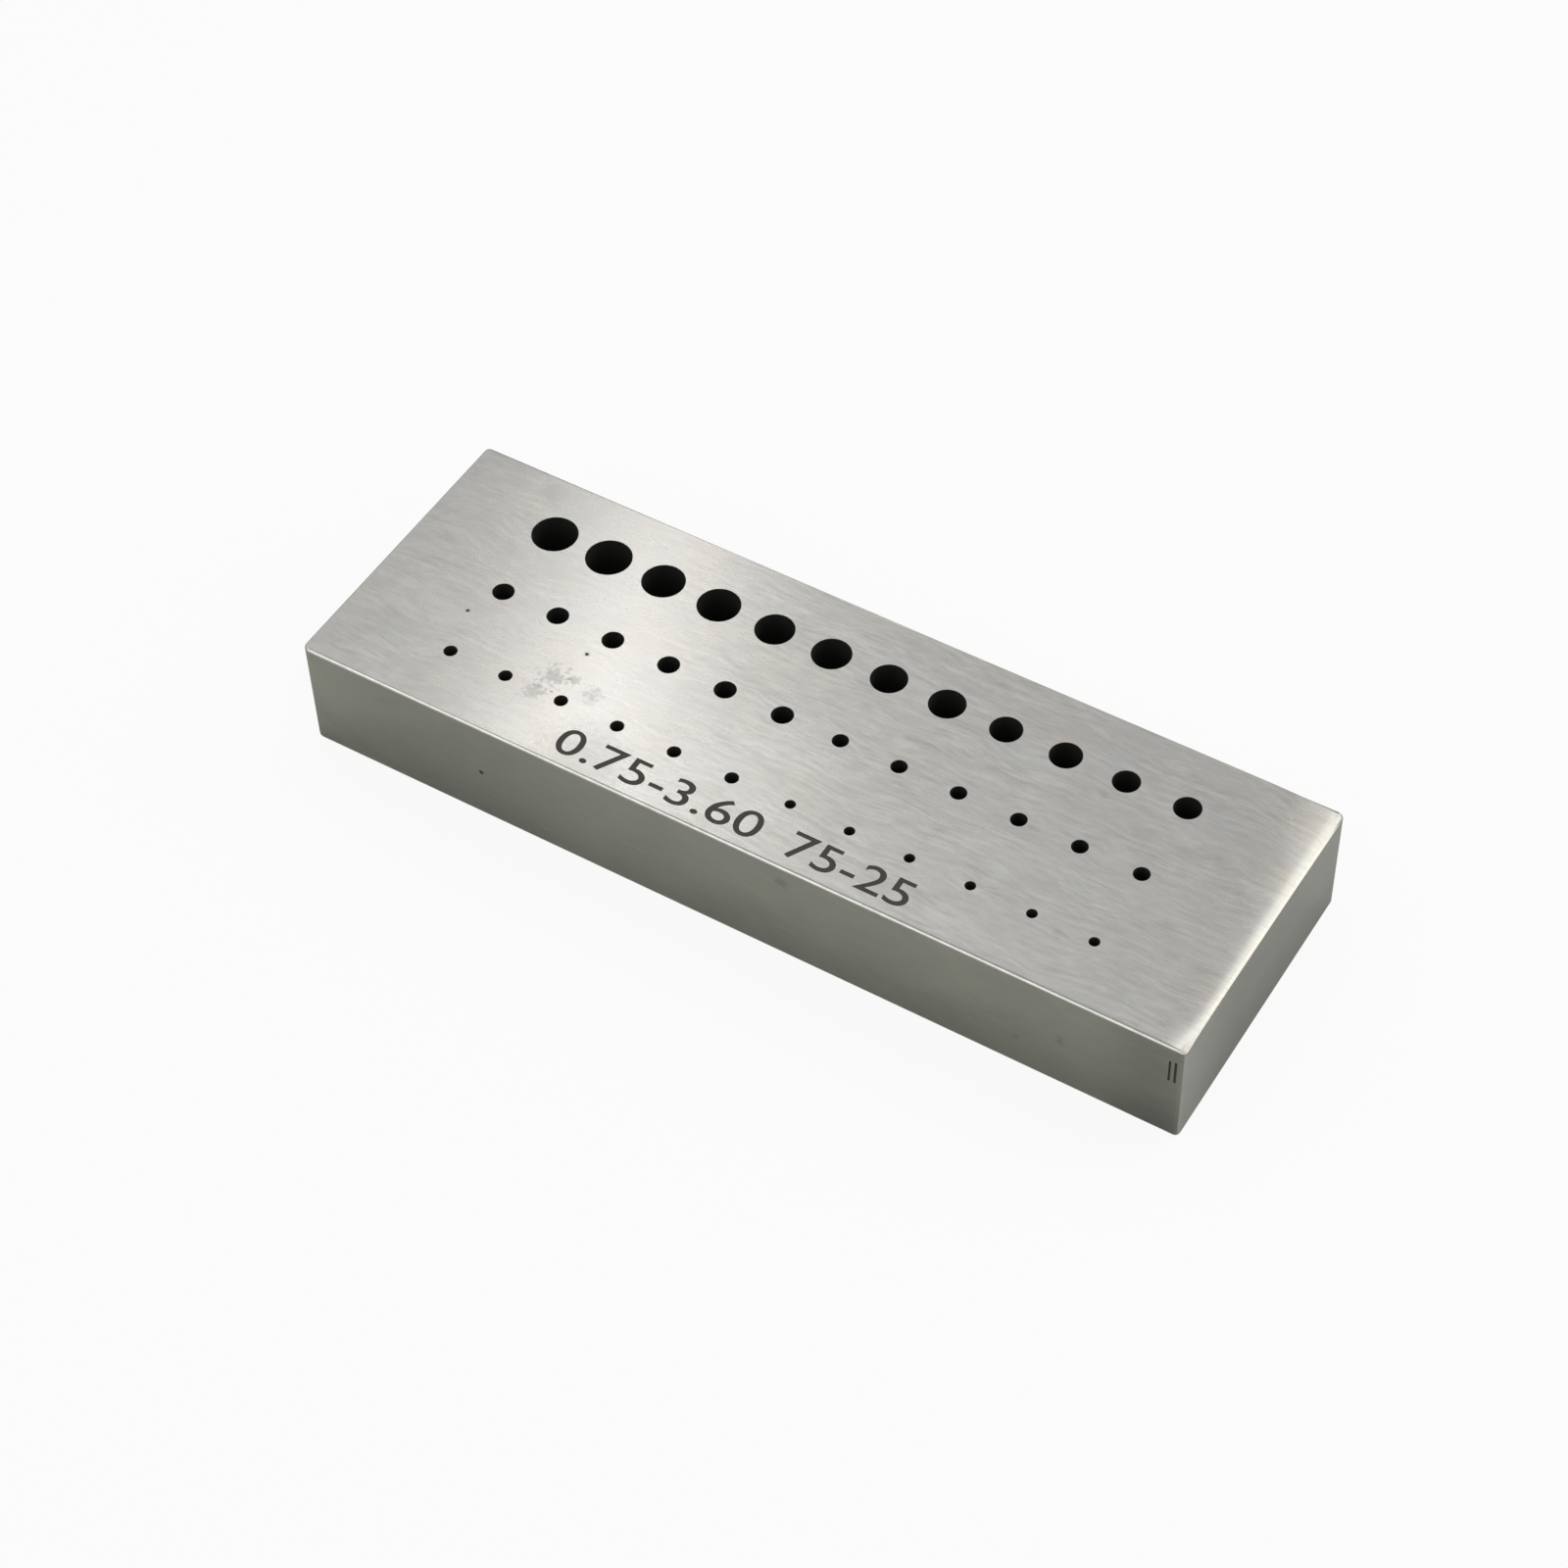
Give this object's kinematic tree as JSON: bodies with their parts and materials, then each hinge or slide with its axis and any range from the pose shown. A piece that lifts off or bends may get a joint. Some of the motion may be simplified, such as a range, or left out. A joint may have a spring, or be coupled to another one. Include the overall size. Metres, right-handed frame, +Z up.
{
  "type": "staking block",
  "caption": "Flat rectangular hardened steel block, drilled through with three rows of graded holes for staking, riveting and driving out pins.",
  "frame": {"origin": "centre of the underside, on the surface that the block stands on", "axes": "+X along the length towards the small ends of the rows, +Y towards the row of large holes, +Z up"},
  "size_m": [0.075, 0.025, 0.01],
  "materials": {
    "ground_steel": "fine lengthwise grind, dark heat scale inside the holes"
  },
  "bodies": {
    "root": {"block": "ground_steel"}
  },
  "joints": []
}
